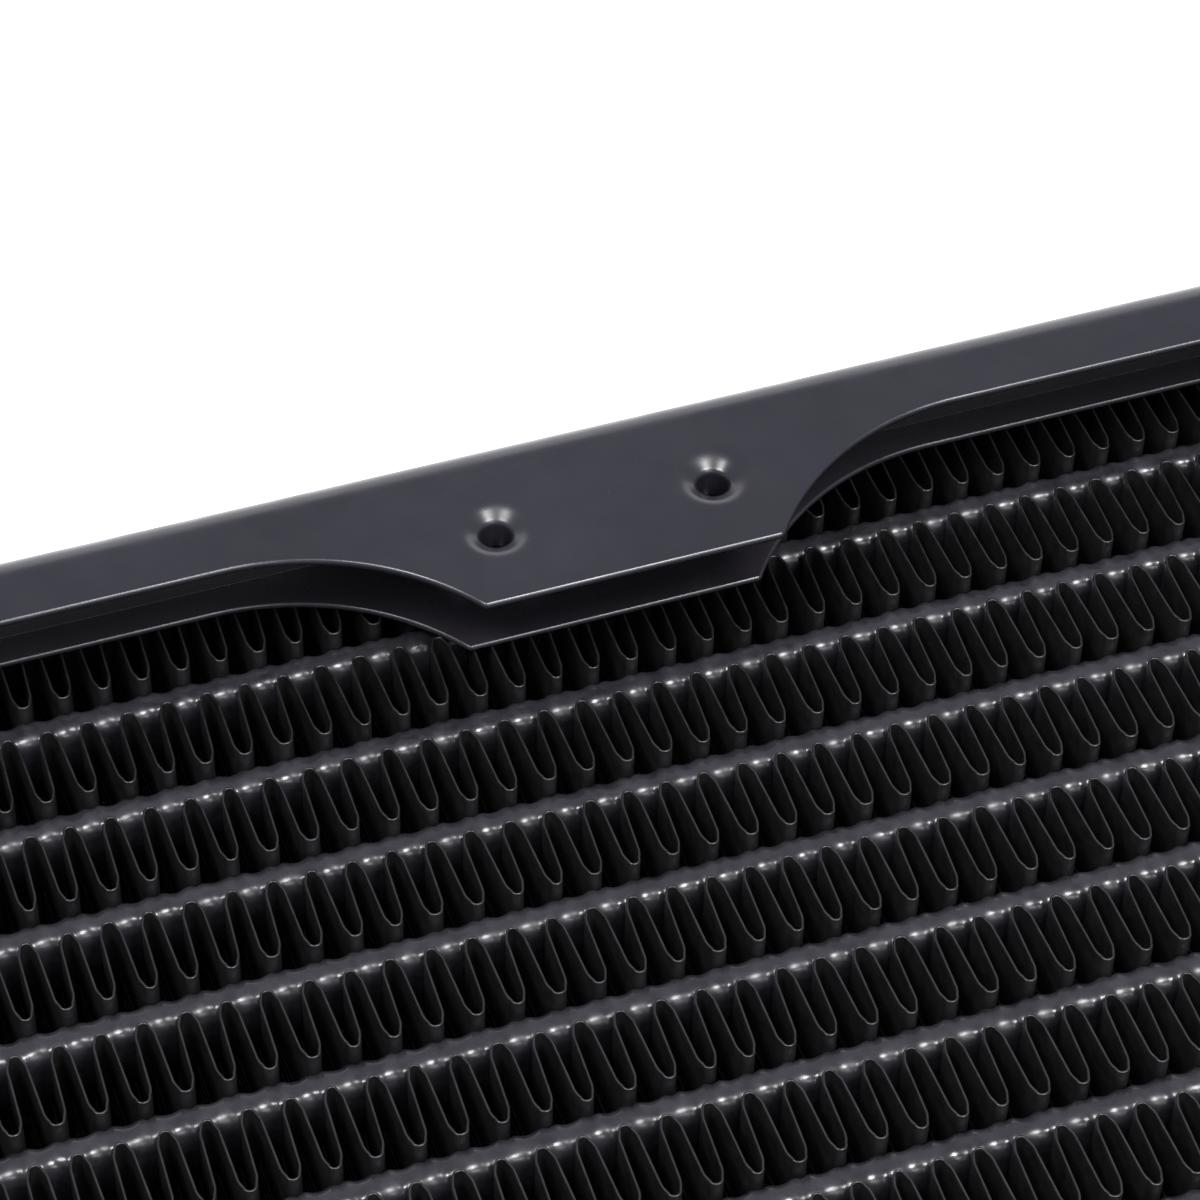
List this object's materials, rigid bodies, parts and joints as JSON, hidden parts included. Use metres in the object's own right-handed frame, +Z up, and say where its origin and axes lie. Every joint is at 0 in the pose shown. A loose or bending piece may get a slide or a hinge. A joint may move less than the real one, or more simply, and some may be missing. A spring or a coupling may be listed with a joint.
{
  "type": "liquid cooling radiator",
  "caption": "Flat-tube and folded-fin liquid cooling radiator for two fans side by side, with tabbed side rails, end tanks, threaded ports and a bleed plug.",
  "frame": {"origin": "centre of the bounding box in X and Y, at its lowest point in Z: the radiator lies on its lower fan face", "axes": "+X along the radiator towards the port tank, +Y across the tubes towards the left rail, +Z up through the core, out of the upper fan face"},
  "size_m": [0.2864, 0.122, 0.045],
  "materials": {
    "rail_paint": "satin black powder paint on folded brass sheet",
    "guard_paint": "satin black paint on thin folded sheet",
    "tank_paint": "satin black powder paint",
    "header_paint": "satin black paint on brass",
    "tube_paint": "flat brass tube under thin black paint",
    "fin_paint": "thin black paint over folded copper strip, bare metal showing deep in the folds",
    "brass": "bare brass sheet",
    "bush_metal": "turned brass bush, black outside with a bare thread",
    "plug_metal": "turned brass plug with black plating",
    "seal_rubber": "matt black rubber"
  },
  "bodies": {
    "radiator": {"side_rail_left": "rail_paint", "side_rail_right": "rail_paint", "guard_strip_upper_left": "guard_paint", "guard_strip_upper_right": "guard_paint", "guard_strip_lower_left": "guard_paint", "guard_strip_lower_right": "guard_paint", "tube_01": "tube_paint", "tube_02": "tube_paint", "tube_03": "tube_paint", "tube_04": "tube_paint", "tube_05": "tube_paint", "tube_06": "tube_paint", "tube_07": "tube_paint", "tube_08": "tube_paint", "tube_09": "tube_paint", "tube_10": "tube_paint", "tube_11": "tube_paint", "tube_12": "tube_paint", "tube_13": "tube_paint", "tube_14": "tube_paint", "fin_strip_01": "fin_paint", "fin_strip_02": "fin_paint", "fin_strip_03": "fin_paint", "fin_strip_04": "fin_paint", "fin_strip_05": "fin_paint", "fin_strip_06": "fin_paint", "fin_strip_07": "fin_paint", "fin_strip_08": "fin_paint", "fin_strip_09": "fin_paint", "fin_strip_10": "fin_paint", "fin_strip_11": "fin_paint", "fin_strip_12": "fin_paint", "fin_strip_13": "fin_paint", "fin_strip_14": "fin_paint", "fin_strip_15": "fin_paint", "header_plate_port_end": "header_paint", "header_plate_return_end": "header_paint", "port_tank": "tank_paint", "return_tank": "tank_paint", "port_tank_baffle": "brass", "inlet_bush": "bush_metal", "outlet_bush": "bush_metal", "bleed_bush": "bush_metal"},
    "bleed_seal": {"bleed_o_ring": "seal_rubber"},
    "bleed_screw": {"bleed_plug": "plug_metal"}
  },
  "joints": [
    {"name": "bleed_travel", "type": "slide", "parent": "radiator", "child": "bleed_seal", "axis": [-1, 0, 0], "range_m": [0, 0.00803]},
    {"name": "bleed_turn", "type": "hinge", "parent": "bleed_seal", "child": "bleed_screw", "pos_m": [-0.14, 0, 0.0225], "axis": [-1, 0, 0], "range_deg": [0, 2160]}
  ],
  "couplings": [
    {"joint": "bleed_travel", "follows": "bleed_turn", "m_per_rad": 0.00021279}
  ]
}
